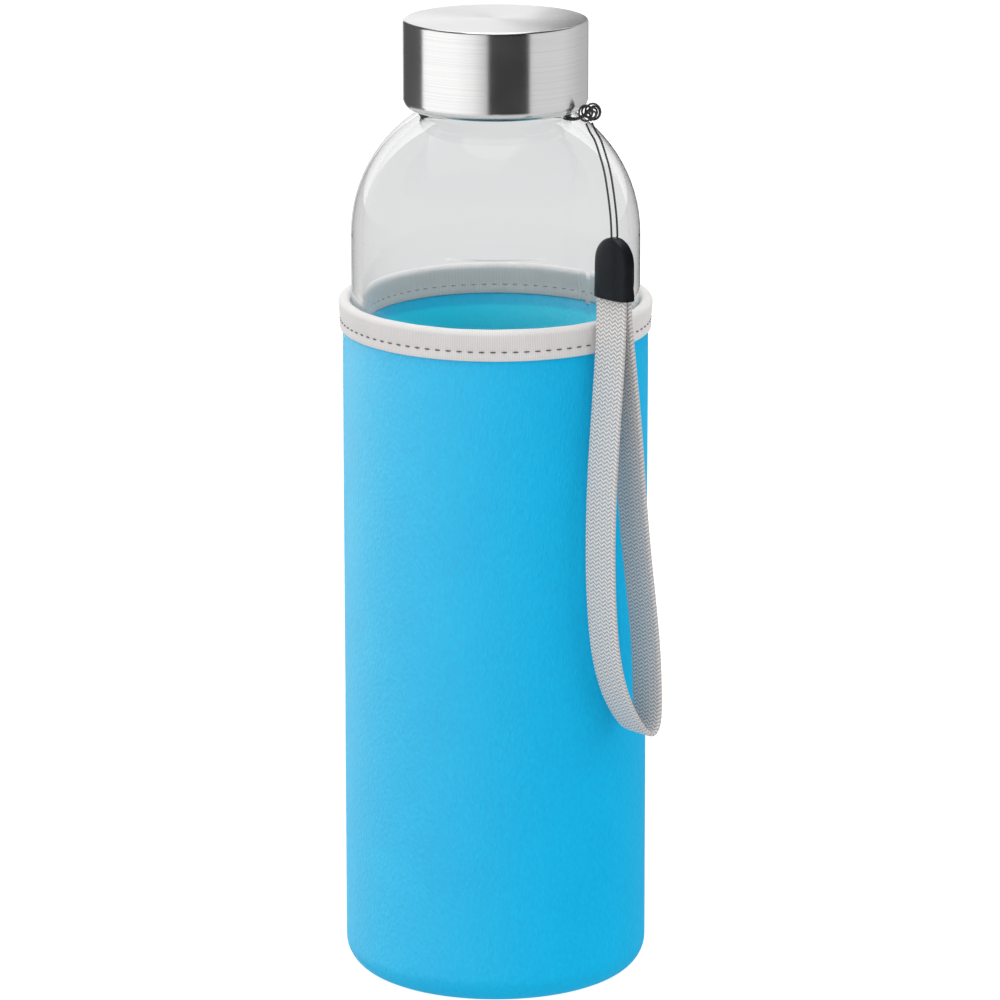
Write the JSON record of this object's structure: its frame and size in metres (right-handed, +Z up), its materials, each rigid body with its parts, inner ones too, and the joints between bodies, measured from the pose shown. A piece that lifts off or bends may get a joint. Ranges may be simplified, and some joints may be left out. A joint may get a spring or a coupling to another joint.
{
  "type": "glass water bottle",
  "caption": "Round glass bottle with a screw cap, in a soft sleeve with a bound rim, with a hand strap hitched to its neck.",
  "frame": {"origin": "middle of the sleeve's underside, on the surface the bottle stands on", "axes": "+Z up along the bottle's axis, +X towards the hanging strap"},
  "size_m": [0.0819, 0.0706, 0.2199],
  "materials": {
    "glass": "clear polished",
    "cap_steel": "circular brushed",
    "cap_plastic": "natural white polypropylene",
    "gasket_silicone": "translucent silicone",
    "neoprene": "knit-faced neoprene",
    "binding_knit": "ribbed knit tape",
    "thread_grey": "polyester thread",
    "thread_blue": "polyester thread",
    "cord": "waxed braided cord",
    "clamp_plastic": "satin moulded",
    "webbing": "flat herringbone braid"
  },
  "bodies": {
    "sleeve": {"sleeve_wall": "neoprene", "sleeve_sole": "neoprene", "sleeve_binding": "binding_knit", "binding_outer_stitches": "thread_grey", "binding_inner_stitches": "thread_grey", "side_seam_stitches": "thread_blue", "sole_seam_stitches": "thread_blue"},
    "bottle": {"glass_bottle": "glass"},
    "cap_seal": {"cap_gasket": "gasket_silicone"},
    "cap": {"cap_shell": "cap_steel", "cap_liner": "cap_plastic"},
    "neck_loop": {"neck_cord": "cord", "cord_hitch": "cord"},
    "strap": {"cord_strand_left": "cord", "cord_strand_right": "cord", "strap_clamp": "clamp_plastic", "strap_webbing": "webbing"}
  },
  "joints": [
    {"name": "bottle_lift", "type": "slide", "parent": "sleeve", "child": "bottle", "axis": [0, 0, 1], "range_m": [0, 0.17]},
    {"name": "cap_rise", "type": "slide", "parent": "bottle", "child": "cap_seal", "axis": [0, 0, 1], "range_m": [0, 0.021]},
    {"name": "cap_turn", "type": "hinge", "parent": "cap_seal", "child": "cap", "pos_m": [0, 0, 0.21], "axis": [0, 0, 1], "range_deg": [0, 1790]},
    {"name": "strap_swivel", "type": "hinge", "parent": "bottle", "child": "neck_loop", "pos_m": [0, 0, 0.1993], "axis": [0, 0, 1], "continuous": true},
    {"name": "strap_swing", "type": "hinge", "parent": "neck_loop", "child": "strap", "pos_m": [0.0227, 0.0079, 0.1985], "axis": [0, -1, 0], "range_deg": [0, 95]}
  ],
  "couplings": [
    {"joint": "cap_rise", "follows": "cap_turn", "m_per_rad": 0.00066845}
  ]
}
